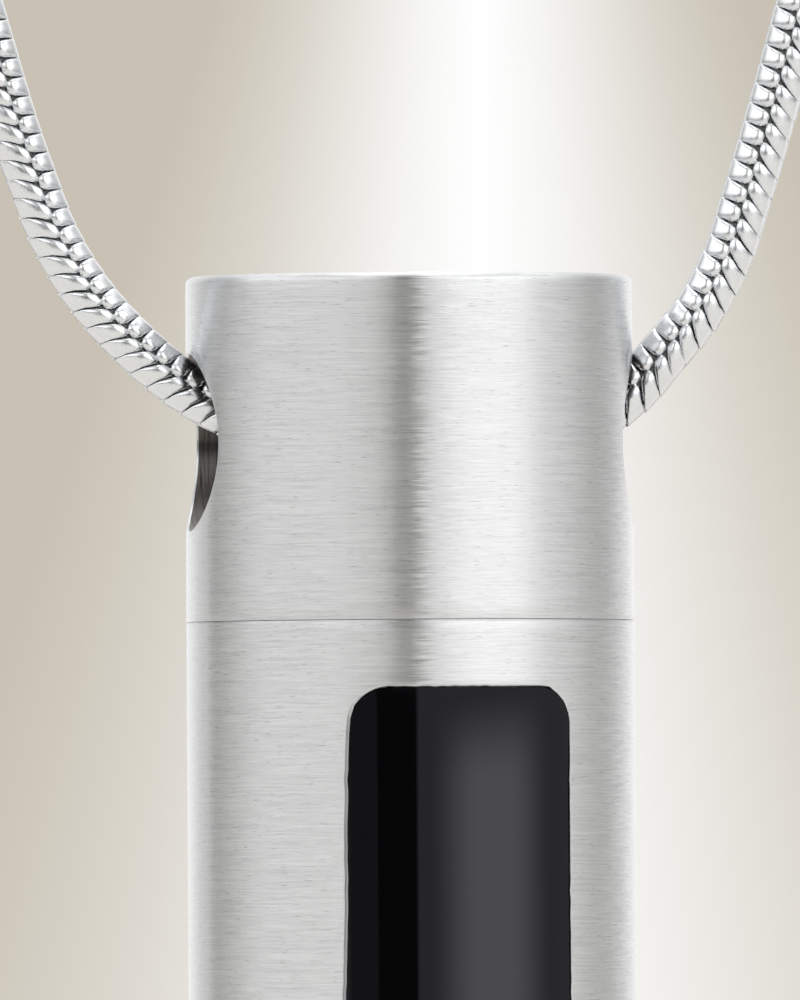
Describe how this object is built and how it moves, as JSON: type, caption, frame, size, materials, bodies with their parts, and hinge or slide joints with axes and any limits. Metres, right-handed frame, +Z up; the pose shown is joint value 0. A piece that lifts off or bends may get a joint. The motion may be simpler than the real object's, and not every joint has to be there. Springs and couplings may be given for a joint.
{
  "type": "keepsake urn pendant on a snake chain",
  "caption": "Cylindrical keepsake urn pendant with a screw cap, a black window inlay and a cross hole, hanging on a closed snake chain necklace.",
  "frame": {"origin": "middle of the clasp, at the top of the loop, where the necklace lies on the nape", "axes": "+Z up; X runs along the chain hole and across the loop, to the viewer's right; the pendant's front faces -Y"},
  "size_m": [0.0892, 0.01, 0.2534],
  "materials": {
    "brushed_steel": "stainless steel, brushed round the cylinder",
    "black_inlay": "glossy black resin",
    "chain_steel": "polished stainless steel"
  },
  "bodies": {
    "necklace": {"chain": "chain_steel", "clasp": "chain_steel"},
    "cap": {"cap": "brushed_steel"},
    "urn": {"tube": "brushed_steel", "inlay": "black_inlay"}
  },
  "joints": [
    {"name": "swing", "type": "hinge", "parent": "necklace", "child": "cap", "pos_m": [0, 0, -0.21855], "axis": [1, 0, 0], "range_deg": [-60, 60]},
    {"name": "unscrew", "type": "slide", "parent": "cap", "child": "urn", "axis": [0, 0, -1], "range_m": [0, 0.012]}
  ]
}
